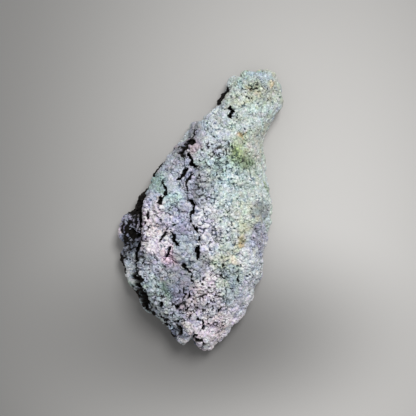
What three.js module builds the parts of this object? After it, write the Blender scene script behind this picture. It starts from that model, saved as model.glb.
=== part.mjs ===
// Grape agate cluster: a pear-shaped botryoidal chalcedony specimen, 151 mm long, lying on its back.
//
// The specimen grew as one piece, so it is one closed solid. Its crusted face looks up (+Z), its long
// axis runs along Y with the round knob at +Y, and its broken underside is cut off flat at Z = 0.
// The solid reaches the tips of the grape-like beads: the beads themselves are finer than its facets.
import * as THREE from 'three';

// ---- Driving dimensions, in millimetres ---------------------------------------------------------

const RIM_HEIGHT = 9;            // height of the widest line above the table
const FLAT_INSET = 5;            // how far the flat underside lies inside the widest line
const SHOULDER_WIDTH = 9;        // plan width over which the edge rises to the crusted face
const DOME_SHARE = 0.22;         // share of the height that belongs to the broad dome

const LEDGE_RISE = 5;            // height of the low ledge on the belly's left side above the rim
const LEDGE_EDGE_WIDTH = 3;      // plan width over which the ledge's outer edge rises
const WALL_WIDTH = 4;            // plan width of the steep wall from the ledge up to the crust
const LEDGE_FADE = 7;            // how far the wall takes to die out past the ends of the cleft

const LOBE_RADIUS = 6;           // a grape-like nodule of the crust
const LOBE_HEIGHT = 3;           // how far a lone nodule would stand out
const LOBE_MEAN = 0.72;          // share of that height which lies below the mean surface
const LOBE_SPACING = 6.6;        // least distance between the middles of two nodules
const LOBE_FADE_HEIGHT = 6;      // nodules die out below this height, towards the flat underside

const POINTS_ROUND = 148;        // mesh points round the outline
const RINGS_ABOVE = 22;          // mesh rings from the widest line up to the crest
const RINGS_BELOW = 4;           // mesh rings from the widest line down to the flat underside
const CREST_GAP = 1.8;           // the last ring lies this far from the crest, and a cap closes it
const RING_CROWDING = 1.3;       // above 1, rings crowd towards the steep edge
const SEED = 11;                 // start of the nodules' random numbers

// Crest of the crust: a line [x, y] that the nodules rise towards, and its height above the table.
const CREST = [
  { x: -2, y: -59, height: 24 },
  { x: -4, y: -41, height: 34 },
  { x: -3, y: -20, height: 39 },
  { x: 4, y: 2, height: 40 },
  { x: 14, y: 23, height: 36 },
  { x: 22, y: 41, height: 30 },
  { x: 29.5, y: 59, height: 27 },
];

// Widest line seen from above, as [x, y], from the notch beside the knob and on clockwise.
const OUTLINE = [
  [14.6, 68.4], [17.4, 71.4], [20.6, 70.6], [23, 73.2], [31.6, 74.8], [38.4, 74], [42.6, 69.6],
  [44.2, 62.5], [44.3, 56], [42.3, 51.1], [38.4, 45.2], [35, 39], [34.2, 34.6], [35.3, 27],
  [36.1, 15.5], [37.7, 4], [38.3, -4], [36.6, -14.5], [34.8, -23], [34.2, -33.6], [29.8, -41],
  [27.4, -47.5], [25, -54], [20.2, -61], [12.4, -69], [8.2, -72.2], [4.6, -75.4], [1.1, -76.4],
  [-1.8, -73.4], [-4.2, -69.2], [-6.8, -71], [-9.6, -73.4], [-13, -71.2], [-16.2, -66.2],
  [-21.6, -59.2], [-30.2, -53.4], [-35.6, -43.6], [-40.8, -33.4], [-42.5, -27.5], [-42.1, -19.4],
  [-43.9, -14.8], [-42.6, -9.6], [-39.4, -2.5], [-32.2, 5.8], [-28.4, 12.6], [-25.2, 20],
  [-19.8, 24.6], [-10.2, 35.4], [-4.9, 43.8], [0.4, 47.4], [6.4, 53.8], [10.8, 59.4], [13.4, 64],
];

// The cleft at the foot of the wall between the ledge and the crust, seen from above, from top to bottom.
const CLEFT = [
  [-18.8, 23.6], [-25.7, 13.4], [-30.5, 0.5], [-30.5, -9], [-31.6, -18.8], [-34, -27], [-32.5, -38],
  [-28.9, -46.6], [-24, -52], [-18.2, -58],
];

// Open cracks between the larger lobes, seen from above, with the depth and half width of each.
const CRACKS = [
  { name: 'cleft beside the ledge', depth: 2.5, halfWidth: 1.6, points: CLEFT },
  {
    name: 'long central crack', depth: 4.5, halfWidth: 1.8,
    points: [[-4.8, 31], [-3.8, 24.6], [-7, 17], [-8, 9.6], [-3.8, 1.6], [-0.5, -14.5], [-1, -23.6]],
  },
  {
    name: 'crack of the upper left edge', depth: 4.5, halfWidth: 1.9,
    points: [[-4.8, 44.5], [-7.5, 37.5], [-9.6, 31], [-11.2, 25.7]],
  },
  {
    name: 'short crack above the round patch', depth: 3.5, halfWidth: 1.7,
    points: [[-18.8, 11.2], [-17, 6.4], [-19.8, 1.6]],
  },
  {
    name: 'crack right of the round patch', depth: 3.5, halfWidth: 1.7,
    points: [[-12.9, -7.5], [-12.9, -15], [-15, -21], [-18.8, -28]],
  },
  {
    name: 'lower central crack', depth: 3.5, halfWidth: 1.7,
    points: [[-8, -29], [-4.8, -33.2], [-3.2, -39.6], [-5.4, -47.7]],
  },
  {
    name: 'notch between the two lower tips', depth: 5, halfWidth: 2,
    points: [[-3.8, -70], [-5.4, -64.3], [-10.2, -64.3], [-12.9, -59]],
  },
];

// ---- Small mathematics ---------------------------------------------------------------------------

/** Repeatable random numbers from 0 to 1 (mulberry32). */
function makeRandom(seed) {
  let state = seed;
  return () => {
    state = (state + 0x6d2b79f5) | 0;
    let t = Math.imul(state ^ (state >>> 15), 1 | state);
    t = (t + Math.imul(t ^ (t >>> 7), 61 | t)) ^ t;
    return ((t ^ (t >>> 14)) >>> 0) / 4294967296;
  };
}

/** Distance in plan from (x, y) to a line of [x, y] points, below zero on the line's right-hand side. */
function signedDistance(x, y, points) {
  let nearest = Infinity;
  let side = 1;
  for (let i = 1; i < points.length; i += 1) {
    const [ax, ay] = points[i - 1];
    const [bx, by] = points[i];
    const along = ((x - ax) * (bx - ax) + (y - ay) * (by - ay)) / ((bx - ax) ** 2 + (by - ay) ** 2);
    const t = THREE.MathUtils.clamp(along, 0, 1);
    const away = Math.hypot(x - ax - t * (bx - ax), y - ay - t * (by - ay));
    if (away < nearest) {
      nearest = away;
      side = Math.sign((bx - ax) * (y - ay) - (by - ay) * (x - ax));
    }
  }
  return side * nearest;
}

/** Point of the crest line beside y, held at the crest's two ends. */
function crestAt(y) {
  const first = CREST[0];
  const last = CREST[CREST.length - 1];
  const held = THREE.MathUtils.clamp(y, first.y, last.y);
  const next = Math.max(1, CREST.findIndex((stop) => held <= stop.y));
  const a = CREST[next - 1];
  const b = CREST[next];
  const t = THREE.MathUtils.smoothstep(held, a.y, b.y) * 0.5 + ((held - a.y) / (b.y - a.y)) * 0.5;
  return {
    x: THREE.MathUtils.lerp(a.x, b.x, t),
    y: held,
    height: THREE.MathUtils.lerp(a.height, b.height, t),
  };
}

// ---- The body ---------------------------------------------------------------------------------------

/** One spoke of the body for each point of the outline: its rim point, its crest point and its way out. */
function makeSpokes() {
  const corners = OUTLINE.map(([x, y]) => new THREE.Vector3(x, y, 0));
  const rim = new THREE.CatmullRomCurve3(corners, true, 'centripetal');
  // The list runs clockwise seen from above, so it is turned round to run anticlockwise.
  const points = rim.getSpacedPoints(POINTS_ROUND).slice(0, POINTS_ROUND).reverse();
  return points.map((point) => {
    const crest = crestAt(point.y);
    const out = new THREE.Vector3(point.x - crest.x, point.y - crest.y, 0);
    return { point, crest, reach: out.length(), out: out.clone().normalize() };
  });
}

/** A spoke's point `inset` millimetres inside the widest line, at height z, that swells out at `tilt`. */
function alongSpoke(spoke, inset, z, tilt) {
  const share = 1 - inset / spoke.reach;
  return {
    place: new THREE.Vector3(
      THREE.MathUtils.lerp(spoke.crest.x, spoke.point.x, share),
      THREE.MathUtils.lerp(spoke.crest.y, spoke.point.y, share),
      z,
    ),
    swell: spoke.out.clone().multiplyScalar(Math.cos(tilt)).setZ(Math.sin(tilt)),
  };
}

/** From 0 to 1: a quarter of a sine wave over the width, then level. */
function shoulder(inset, width) {
  return Math.sin(Math.min(inset / width, 1) * Math.PI / 2);
}

/** How much of a point belongs to the low ledge outside the cleft, from 0 to 1. */
function ledgeShare(x, y) {
  const top = CLEFT[0][1];
  const bottom = CLEFT[CLEFT.length - 1][1];
  const outside = THREE.MathUtils.smoothstep(-signedDistance(x, y, CLEFT), -WALL_WIDTH, 0);
  const below = 1 - THREE.MathUtils.smoothstep(y, top - LEDGE_FADE, top);
  const above = THREE.MathUtils.smoothstep(y, bottom, bottom + LEDGE_FADE);
  return outside * below * above;
}

/** Depth of the cracks under (x, y): the deepest of their bell-shaped grooves. */
function crackDepth(x, y) {
  return CRACKS.reduce((deepest, crack) => {
    const across = signedDistance(x, y, crack.points) / crack.halfWidth;
    return Math.max(deepest, crack.depth * Math.exp(-across * across));
  }, 0);
}

/** Height of the upper face: a quarter-sine edge under a broad dome, less the ledge and the cracks. */
function faceHeight(spoke, inset, x, y) {
  const share = 1 - inset / spoke.reach;
  const rise = (1 - DOME_SHARE) * shoulder(inset, SHOULDER_WIDTH) + DOME_SHARE * (1 - share * share);
  const crust = THREE.MathUtils.lerp(RIM_HEIGHT, spoke.crest.height, rise);
  const ledge = RIM_HEIGHT + LEDGE_RISE * shoulder(inset, LEDGE_EDGE_WIDTH);
  const solid = THREE.MathUtils.lerp(crust, ledge, ledgeShare(x, y));
  return Math.max(solid - crackDepth(x, y) * shoulder(inset, SHOULDER_WIDTH), RIM_HEIGHT);
}

/** Rings of points from the flat underside, out round the widest line and in to the crest. */
function makeRings(spokes) {
  const rings = [];
  for (let i = 0; i < RINGS_BELOW; i += 1) {
    const angle = (1 - i / RINGS_BELOW) * Math.PI / 2;
    const inset = FLAT_INSET * (1 - Math.cos(angle));
    // The first ring, at a right angle, is the edge of the flat underside, at height 0.
    const z = i === 0 ? 0 : RIM_HEIGHT * (1 - Math.sin(angle));
    rings.push(spokes.map((spoke) => alongSpoke(spoke, inset, z, 0)));
  }
  for (let i = 0; i <= RINGS_ABOVE; i += 1) {
    const share = (i / RINGS_ABOVE) ** RING_CROWDING;
    rings.push(spokes.map((spoke) => {
      const inset = share * (spoke.reach - CREST_GAP);
      const tilt = Math.min(inset / SHOULDER_WIDTH, 1) * Math.PI / 2;
      const ringPoint = alongSpoke(spoke, inset, RIM_HEIGHT, tilt);
      ringPoint.place.z = faceHeight(spoke, inset, ringPoint.place.x, ringPoint.place.y);
      return ringPoint;
    }));
  }
  return rings;
}

/** Triangles over the thin loop round the crest: two chains from its +Y end, joined going down. */
function zipCrest(places) {
  const count = places.length;
  const top = places.reduce((best, place, i) => (place.y > places[best].y ? i : best), 0);
  const triangles = [];
  let left = top;
  let right = (top - 1 + count) % count;
  for (let i = 2; i < count; i += 1) {
    const nextLeft = (left + 1) % count;
    const nextRight = (right - 1 + count) % count;
    if (places[nextLeft].y > places[nextRight].y) {
      triangles.push([left, nextLeft, right]);
      left = nextLeft;
    } else {
      triangles.push([left, nextRight, right]);
      right = nextRight;
    }
  }
  return triangles;
}

/** Closed mesh over rings of places: bands between them, the flat underside and the loop at the crest. */
function skin(rings) {
  const triangles = [];
  for (let ring = 1; ring < rings.length; ring += 1) {
    for (let i = 0; i < POINTS_ROUND; i += 1) {
      const next = (i + 1) % POINTS_ROUND;
      const low = (ring - 1) * POINTS_ROUND;
      const high = ring * POINTS_ROUND;
      triangles.push(low + i, low + next, high + next, low + i, high + next, high + i);
    }
  }
  const underside = rings[0].map((place) => new THREE.Vector2(place.x, place.y));
  for (const [a, b, c] of THREE.ShapeUtils.triangulateShape(underside, [])) {
    triangles.push(a, c, b);
  }
  const last = (rings.length - 1) * POINTS_ROUND;
  for (const corners of zipCrest(rings[rings.length - 1])) {
    triangles.push(...corners.map((corner) => last + corner));
  }
  const positions = rings.flat().flatMap((place) => [place.x, place.y, place.z]);
  const geometry = new THREE.BufferGeometry();
  geometry.setAttribute('position', new THREE.Float32BufferAttribute(positions, 3));
  geometry.setIndex(triangles);
  geometry.computeVertexNormals();
  return geometry;
}

// ---- Nodules -----------------------------------------------------------------------------------------

/** Middles of the nodules: places on the surface picked at random, none too close to another. */
function scatterNodules(places) {
  const random = makeRandom(SEED);
  const middles = [];
  for (let i = 0; i < places.length; i += 1) {
    const at = places[Math.floor(random() * places.length)];
    if (at.z > 0 && middles.every((other) => other.distanceTo(at) > LOBE_SPACING)) {
      middles.push(at);
    }
  }
  return middles;
}

/** How far the surface stands out of the mean at a place, or below zero in the valleys. */
function relief(place, middles) {
  let lobe = 0;
  for (const middle of middles) {
    const reach = place.distanceTo(middle) / LOBE_RADIUS;
    lobe = Math.max(lobe, Math.sqrt(Math.max(0, 1 - reach * reach)));
  }
  return (lobe - LOBE_MEAN) * LOBE_HEIGHT * THREE.MathUtils.smoothstep(place.z, 0, LOBE_FADE_HEIGHT);
}

/** The specimen's solid: the body with its nodules, standing over the origin. */
function makeSpecimenGeometry() {
  const rings = makeRings(makeSpokes());
  const middles = scatterNodules(rings.flat().map((ringPoint) => ringPoint.place));
  const swollen = rings.map((ring) => ring.map(
    ({ place, swell }) => place.clone().addScaledVector(swell, relief(place, middles)),
  ));
  const geometry = skin(swollen);
  geometry.computeBoundingBox();
  const middle = geometry.boundingBox.getCenter(new THREE.Vector3());
  geometry.translate(-middle.x, -middle.y, 0);
  return geometry;
}

// ---- The specimen ------------------------------------------------------------------------------------

// Pale mint and lilac chalcedony: a dull, sugary surface, as stone has.
const chalcedony = new THREE.MeshStandardMaterial({ color: 0x9a9fa2, roughness: 0.6, metalness: 0 });

const specimen = new THREE.Mesh(makeSpecimenGeometry(), chalcedony);
specimen.name = 'grape_agate_cluster';

const group = new THREE.Group();
group.name = 'grape_agate_specimen';
group.add(specimen);

export default group;
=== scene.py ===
"""Looks of a grape agate cluster: a pear-shaped crust of chalcedony beads, 151 mm long, on dark host rock.

Lengths are in millimetres in this file's own plan: X to the right of the specimen, Y along it towards its
round knob, Z up from the table. `to_frame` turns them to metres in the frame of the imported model.
"""
from __future__ import annotations

import itertools
import logging
import math
from dataclasses import dataclass, field
from enum import Enum
from typing import Sequence

import bpy
import numpy as np
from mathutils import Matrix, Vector


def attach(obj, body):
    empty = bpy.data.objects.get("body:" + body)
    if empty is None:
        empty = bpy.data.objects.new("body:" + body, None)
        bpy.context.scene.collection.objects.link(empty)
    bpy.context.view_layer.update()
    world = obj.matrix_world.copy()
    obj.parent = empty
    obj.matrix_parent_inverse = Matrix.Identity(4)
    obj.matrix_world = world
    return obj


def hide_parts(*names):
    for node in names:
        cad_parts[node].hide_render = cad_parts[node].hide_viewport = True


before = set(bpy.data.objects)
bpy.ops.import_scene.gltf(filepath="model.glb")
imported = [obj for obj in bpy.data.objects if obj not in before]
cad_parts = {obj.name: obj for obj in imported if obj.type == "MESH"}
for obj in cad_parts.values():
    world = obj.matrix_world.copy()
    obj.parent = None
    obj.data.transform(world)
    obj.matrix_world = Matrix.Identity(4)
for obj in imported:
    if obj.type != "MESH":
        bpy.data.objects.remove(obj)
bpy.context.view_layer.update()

Array = np.ndarray
Piece = bpy.types.Object
Material = bpy.types.Material
Socket = bpy.types.NodeSocket
Tree = bpy.types.NodeTree

LOG = logging.getLogger("grape_agate")
NODE = "grape_agate_cluster"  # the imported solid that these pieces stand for
BODY = "root"
MM = 0.001  # a millimetre in metres
PLAN_MIDDLE = (0.32, -0.54)  # the plan's point that lies over the frame's origin
UV_NAME = "OFBake"
TINT_NAME = "tint"


# ---- Colours ----

def linear(code: str) -> tuple[float, float, float, float]:
    """Turns an sRGB hex colour to linear light.

    Args:
        code: six hex digits after a hash sign.

    Returns:
        Red, green, blue and an alpha of 1: c / 12.92 below 0.04045, else ((c + 0.055) / 1.055) ^ 2.4.
    """
    parts = [int(code[i:i + 2], 16) / 255 for i in (1, 3, 5)]
    red, green, blue = (c / 12.92 if c <= 0.04045 else ((c + 0.055) / 1.055) ** 2.4 for c in parts)
    return red, green, blue, 1.0


class Tint(Enum):
    """Colours of the chalcedony crust and of the rock under it, some of them darkened or paled as painted
    shade and light.
    """

    ICE = "#d6dcdf"  # nearly clear chalcedony over pale grey
    SNOW_AND_PAINTED_LIGHT = "#eff4f4"  # the palest growth, also painted light on patches that lie in shade
    FROST = "#c6cdd0"
    MINT = "#ced8cf"
    PALE_MINT = "#c8d1cc"
    SEA_ICE = "#c2d5d1"
    SEA = "#b5c2c4"  # blue-green, thicker layers
    SEA_GREEN = "#a7bdb8"
    CHLORITE = "#88a290"
    PALE_OLIVE = "#b0bd9f"
    OLIVE = "#a2b380"  # moss-green stain
    MOSS = "#6e8053"
    GREIGE = "#bfc1b5"
    STRAW = "#c3c8ab"  # thin yellow iron stain
    PALE_STRAW = "#cfd5c1"
    GOLD = "#cd9f3e"
    BRONZE = "#9a8d48"
    OCHRE = "#d0b976"  # strong iron stain
    RUST = "#b99f6e"
    PEACH = "#eedec8"
    PALE_STEEL = "#c0c2cc"
    STEEL = "#b0b3bb"
    ASH = "#a0a1a9"
    # painted shade: dark grey of the crust's dimples and hollows, and of the foot's grey
    SMOKE = "#83888d"
    PALE_SLATE = "#bac2ce"
    SLATE = "#a9b2bd"
    LILAC = "#b9b9c8"
    LAVENDER = "#dbdae4"
    VIOLET = "#a4a3b7"  # the purple that grape agate is named for
    MAUVE = "#d2c7d0"
    PINK = "#e3d9df"
    BLUSH = "#f3e5ea"
    DUSTY_PINK = "#b5a8ae"
    ROSE = "#e4c2d1"
    DUSK_AND_SHADE = "#7c8191"  # thin violet crust over dark rock, darkened as painted shade where it lies low in the crust's shade
    HOLLOW_SHADE = "#5b6874"  # painted shade of shallow hollows, seen through bluish chalcedony
    ROCK = "#141210"  # host rock, nearly black
    SAWN = "#4a433d"  # sawn and dusty rock of the underside
    DUST = "#342f2b"  # dust on steep rock


def rgb(tint: Tint) -> Array:
    """A tint's red, green and blue in linear light."""
    return np.array(linear(tint.value)[:3])


# ---- Map of the crust ----

@dataclass(frozen=True)
class Patch:
    """One patch of the crust seen from above.

    Attributes:
        name: what it is.
        x: its middle, across.
        y: its middle, along.
        reach: how far it spreads.
        tint: its colour.
        bead: size of its beads, as a share of the usual one.
        pits: how many open pits it has, as a share of the usual number.
        rise: how far it bulges out of the crust.
        cover: share of it that beads cover; the rest is bare rock in streaks along the specimen.
    """

    name: str
    x: float
    y: float
    reach: float
    tint: Tint
    bead: float = 1.0
    pits: float = 1.0
    rise: float = 0.0
    cover: float = 1.0


PATCHES = tuple(Patch(*row) for row in (
    ("knob, far end", 31.6, 69.6, 6, Tint.SEA, 0.85, 0.2),
    ("knob, middle", 28.5, 60.5, 4.5, Tint.STRAW, 0.8, 1.6, 0.6),
    ("knob, right", 38, 61, 4.5, Tint.GREIGE, 0.8, 0.6),
    ("knob, iron stain", 38.2, 65, 1.8, Tint.OCHRE, 0.8, 1.5),
    ("knob, left", 19, 63, 5, Tint.MINT, 0.85, 0.4),
    ("knob, left green", 22.5, 66.5, 2.2, Tint.SEA_GREEN, 0.85, 0.8),
    ("neck, left yellow", 17.5, 56.5, 3.2, Tint.GREIGE, 0.8, 0.6),
    ("neck, right", 30.5, 49.5, 6, Tint.PALE_MINT, 0.8, 0.2),
    ("knob, yellow speck", 25.2, 62.6, 1.2, Tint.OCHRE, 0.8, 1.2),
    ("knob, second yellow speck", 30, 58.6, 1.2, Tint.OCHRE, 0.8, 1.2),
    ("neck, left", 6.4, 48.5, 5.5, Tint.FROST, 0.8, 0.3),
    ("neck, middle", 18.5, 45, 5, Tint.MINT, 0.85, 0.7),
    ("neck, iron spot", 20.4, 37.4, 1.2, Tint.RUST, 0.8, 1),
    ("moss under the spot", 23.3, 35.3, 1.5, Tint.PALE_OLIVE, 0.8, 1.4),
    ("upper right edge", 30.5, 32, 5, Tint.GREIGE, 0.85, 0.2),
    ("moss stain", 19.2, 28, 3.6, Tint.OLIVE, 0.85, 0.8),
    ("dark heart of the moss", 18.4, 28.8, 1.4, Tint.OLIVE, 0.85, 1.1),
    ("moss streak", 25, 20.6, 3.3, Tint.MOSS, 0.85, 1.4),
    ("slate specks", 8.6, 31.5, 4.6, Tint.FROST, 0.9, 1.6),
    ("upper left grey", -1, 41, 4.5, Tint.ASH, 0.8, 0.4),
    ("neck foot, pale", 7, 40.5, 4, Tint.ICE, 0.85, 0.3),
    ("upper pink", -2.6, 33.6, 3, Tint.DUSTY_PINK, 0.9, 0.2, 0.8),
    ("upper left edge", -11.5, 30.5, 3.4, Tint.ASH, 0.8, 1.2),
    ("right edge mint", 31.5, 14, 6.5, Tint.PALE_MINT, 0.9, 0.3),
    ("upper middle", 12, 19, 6, Tint.SEA_ICE, 0.95, 0.8, 0.6),
    # painted shade in this hollow
    ("upper middle hollow", 9, 18.6, 1.8, Tint.SMOKE, 0.95, 1.4, -0.4),
    ("upper middle sea", 8, 11.5, 4, Tint.SEA, 0.95, 0.8),
    ("middle right mint", 19, 9, 6, Tint.PALE_MINT, 1, 0.5, 0.5),
    ("middle sea specks", 16, 12.5, 2.2, Tint.SEA_ICE, 0.95, 0.5),
    ("upper left lobe", -15.5, 24.5, 4.5, Tint.STEEL, 0.85, 0.8, 0.6),
    ("left sea lobe", -22.6, 12, 4.4, Tint.SEA_GREEN, 0.9, 0.6, 0.8),
    ("lilac band", -11.8, 14, 4.4, Tint.PALE_STEEL, 0.7, 0.3, 0.4),
    ("lilac rim over the pink", -26.8, 4, 3.4, Tint.LILAC, 0.9, 0.8, 0.6),
    ("centre lilac", 2.5, 13, 4.4, Tint.ASH, 1.05, 1.4, 0.6),
    ("sea under the band", -14, 4, 3.6, Tint.SEA_ICE, 0.75, 0.3),
    ("slate under the band", -15.5, -0.5, 2.2, Tint.SLATE, 0.75, 0.3, -0.4),
    ("left middle lilac", -9, 0.5, 4.2, Tint.LILAC, 0.8, 0.7, 0.4),
    ("round pink patch", -24.6, -5, 6, Tint.BLUSH, 1.2, 0.9, 1.8),
    # painted shade in this hollow
    ("hollow of the pink patch", -20.6, -10.6, 2.2, Tint.SMOKE, 0.9, 0.8, -0.8),
    ("foot of the pink patch", -20.8, -16, 4.2, Tint.PINK, 1.1, 0.6, 1.2),
    ("right of the pink patch", -16.5, -5, 3, Tint.LILAC, 1, 0.9, 0.8),
    ("violet lobe", -8.2, -10, 3.2, Tint.VIOLET, 0.85, 0.9, 0.4),
    ("under the violet lobe", -7.5, -18.5, 4, Tint.SLATE, 0.9, 0.7),
    ("pale centre", 5.8, -11, 6.5, Tint.LAVENDER, 1.15, 1, 0.8),
    ("centre right", 13.5, -5, 5, Tint.PALE_MINT, 1.1, 0.7, 0.4),
    ("yellow green band", 24.6, 0.5, 4.2, Tint.PALE_STRAW, 0.95, 0.1, 0.3),
    ("yellow streak under it", 20, -9.5, 2.3, Tint.STRAW, 0.95, 0.3, 0.2),
    # painted shade in this dimple
    ("right dimple", 29, 0.6, 3.1, Tint.SMOKE, 0.9, 0.8, -1.6),
    ("ochre stain", 19.4, -19, 1.6, Tint.GOLD, 0.9, 1),
    ("head of the ochre stain", 21.2, -16.2, 1.4, Tint.BRONZE, 0.9, 1.8),
    ("around the ochre", 16, -18, 5, Tint.PALE_MINT, 1, 0.7, 0.3),
    ("peach spot", 18, -26.2, 2.6, Tint.PEACH, 0.9, 0.2),
    ("straw edge of the peach", 11.5, -27, 3.6, Tint.PALE_STRAW, 0.95, 0.9),
    ("right lavender edge", 32.5, -20, 5.2, Tint.LILAC, 0.95, 1),
    ("right edge specks", 28.5, -31, 4, Tint.ICE, 0.95, 1.3),
    # painted light: paler than its growth, to lift a flank that lies in shade
    ("pale right flank", 24.5, -26, 3.4, Tint.SNOW_AND_PAINTED_LIGHT, 0.95, 0.1),
    ("magenta spot", -14.5, -23.8, 3, Tint.ROSE, 0.95, 0.9, 0.4),
    ("pale lobe", -8.5, -24, 3, Tint.STEEL, 0.9, 0.5, 0.5),
    ("lower left violet", -25, -29.5, 4.2, Tint.PALE_STEEL, 0.95, 1.2, 0.6),
    ("left lower lilac", -17, -33, 3.4, Tint.ASH, 1.05, 1, 0.8),
    ("white lobe", -19.6, -34.6, 1.3, Tint.PINK, 1.1, 0.4, 0.6),
    ("lower left sea", -24.8, -39, 4.2, Tint.SEA, 0.95, 1.2, 0.3),
    ("green seam", -16.6, -41, 2.4, Tint.CHLORITE, 0.8, 0.7),
    ("grey plate", -8, -36, 3.4, Tint.ASH, 0.6, 0.1, 0.6),
    ("violet plate", -12, -43, 3.2, Tint.VIOLET, 0.7, 0.9, 0.4),
    ("lower middle pink", 3.2, -41, 4.6, Tint.BLUSH, 1, 1.4, 0.6),
    ("lower centre", 0.5, -29, 4.4, Tint.STEEL, 0.95, 0.9),
    ("lower right moss", 14.6, -33.4, 3.6, Tint.SEA, 0.95, 1),
    ("yellow of the moss", 11.6, -37.4, 1.8, Tint.PALE_STRAW, 0.95, 0.4),
    ("lower right sea", 15, -43, 4, Tint.SEA, 1, 1),
    ("lower right lilac", 22.4, -44.5, 4.2, Tint.LAVENDER, 1, 0.3, 0.4),
    ("violet spot", 19.3, -44.6, 1.5, Tint.VIOLET, 0.9, 0.5),
    ("lower right edge", 20.5, -54, 3.4, Tint.LAVENDER, 0.9, 0.8),
    ("lower specks", -5.5, -50, 4.6, Tint.MAUVE, 0.95, 2.2),
    ("lower middle", 6, -51, 4.6, Tint.LAVENDER, 0.95, 1.6, 0.4),
    ("foot, right pink", 14, -57, 4.8, Tint.BLUSH, 1, 0.7, 0.5),
    ("foot, speckled", 10, -61.5, 2.4, Tint.DUSTY_PINK, 1, 2.2),
    ("foot, pink end", 4, -67.5, 4.6, Tint.BLUSH, 1, 0.6, 0.5),
    ("foot, left", -12, -58.5, 4.6, Tint.PALE_SLATE, 0.95, 1.8),
    ("foot, violet hollow", -1.4, -58.8, 1.9, Tint.LILAC, 0.95, 1, -0.4),
    ("foot, pink lobe", -4.6, -61, 3, Tint.BLUSH, 0.95, 0.6, 0.4),
    ("foot, sea", -6.6, -64.5, 3.4, Tint.SMOKE, 0.95, 0.9),
    ("foot, ice tip", -1.4, -72, 2.2, Tint.SNOW_AND_PAINTED_LIGHT, 0.9, 0.3),
    ("foot, left edge", -22, -52, 4.6, Tint.FROST, 0.95, 1.9),
    ("foot, left tip", -10.5, -70, 3.4, Tint.DUSK_AND_SHADE, 0.9, 2.3),
    # painted shade: the ledge's dark tints and thin cover, which bares black rock in streaks, stand partly
    # for the shade of the crust's wall above it
    ("ledge, upper", -35.6, -10, 5.5, Tint.VIOLET, 0.8, 1.8, 0, 0.34),
    ("ledge, lilac streak", -38.6, -6.5, 2, Tint.LILAC, 0.8, 1.2, 0.5, 1.1),
    ("ledge, middle", -37, -22.5, 5.4, Tint.DUSK_AND_SHADE, 0.8, 2, 0.2, 0.78),
    # painted light: drawn near white where the wall shades it
    ("ledge, pale patch", -36.8, -32.4, 4.4, Tint.SNOW_AND_PAINTED_LIGHT, 0.9, 0, 0, 2.6),
    ("ledge, green chip", -36.2, -38.4, 1.3, Tint.CHLORITE, 0.8, 0.6, 0.6, 0.95),
    ("ledge, foot", -32.6, -48, 3.6, Tint.SEA, 0.8, 1.8, 0, 0.85),
    # painted light: the palest pink, to lift a knob in the wall's shade
    ("ledge, pink knob", -43.4, -13.6, 1.6, Tint.BLUSH, 0.8, 0.3, 0.9, 3),
))


@dataclass(frozen=True)
class Crack:
    """An open crack or hole where no beads grow and the dark rock shows; a line of little depth is a black
    strip of bare rock, partly painted shade.

    Attributes:
        name: what it is.
        depth: how deep it goes.
        half_width: half of its width between the beads.
        line: corners [x, y] that it follows, seen from above.
    """

    name: str
    depth: float
    half_width: float
    line: tuple[tuple[float, float], ...]


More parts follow.
